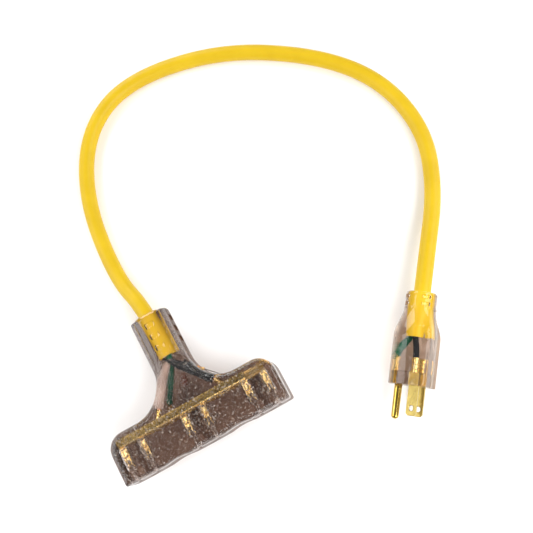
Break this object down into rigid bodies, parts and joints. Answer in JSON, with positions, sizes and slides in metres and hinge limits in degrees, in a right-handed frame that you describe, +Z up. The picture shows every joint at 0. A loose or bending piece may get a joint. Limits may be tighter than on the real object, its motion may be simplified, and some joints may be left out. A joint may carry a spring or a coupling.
{
  "type": "extension cord",
  "caption": "Short extension cord: a clear T-shaped block of grounded outlets, a round yellow lead and a clear grounded plug, lying in one loose loop.",
  "frame": {"origin": "middle of the outlet block's underside, halfway between its outlet faces and the end of its neck", "axes": "+X along the row of outlets, +Y from the outlet faces towards the neck and cord, +Z up from the surface it lies on"},
  "size_m": [0.2739, 0.2954, 0.03],
  "materials": {
    "block_shell": "clear smoky PVC with a fine pebbled skin",
    "outlet_core": "clear rigid plastic, smooth",
    "plug_shell": "clear PVC, lightly satin",
    "plug_core": "clear rigid plastic, smooth",
    "brass": "bright stamped brass",
    "jacket": "satin extruded jacket with faint drawing lines",
    "white_pvc": "semi-gloss wire insulation",
    "black_pvc": "semi-gloss wire insulation",
    "green_pvc": "semi-gloss wire insulation",
    "copper": "bright stranded copper",
    "lamp_glass": "clear glass envelope",
    "resistor": "lacquered body with colour bands",
    "tinned_wire": "tinned copper lead"
  },
  "bodies": {
    "root": {"block_body": "block_shell", "outlet_insert_left": "outlet_core", "outlet_insert_centre": "outlet_core", "outlet_insert_right": "outlet_core", "neutral_bus": "brass", "hot_bus": "brass", "ground_bus": "brass", "neutral_contacts": "brass", "hot_contacts": "brass", "ground_contacts": "brass", "block_ferrules": "brass", "neon_lamp": "lamp_glass", "lamp_resistor": "resistor", "lamp_leads": "tinned_wire", "cord_jacket": "jacket", "white_insulation": "white_pvc", "black_insulation": "black_pvc", "green_insulation": "green_pvc", "white_copper": "copper", "black_copper": "copper", "green_copper": "copper", "plug_body": "plug_shell", "plug_bridge": "plug_core", "hot_blade": "brass", "neutral_blade": "brass", "ground_pin": "brass"}
  },
  "joints": []
}
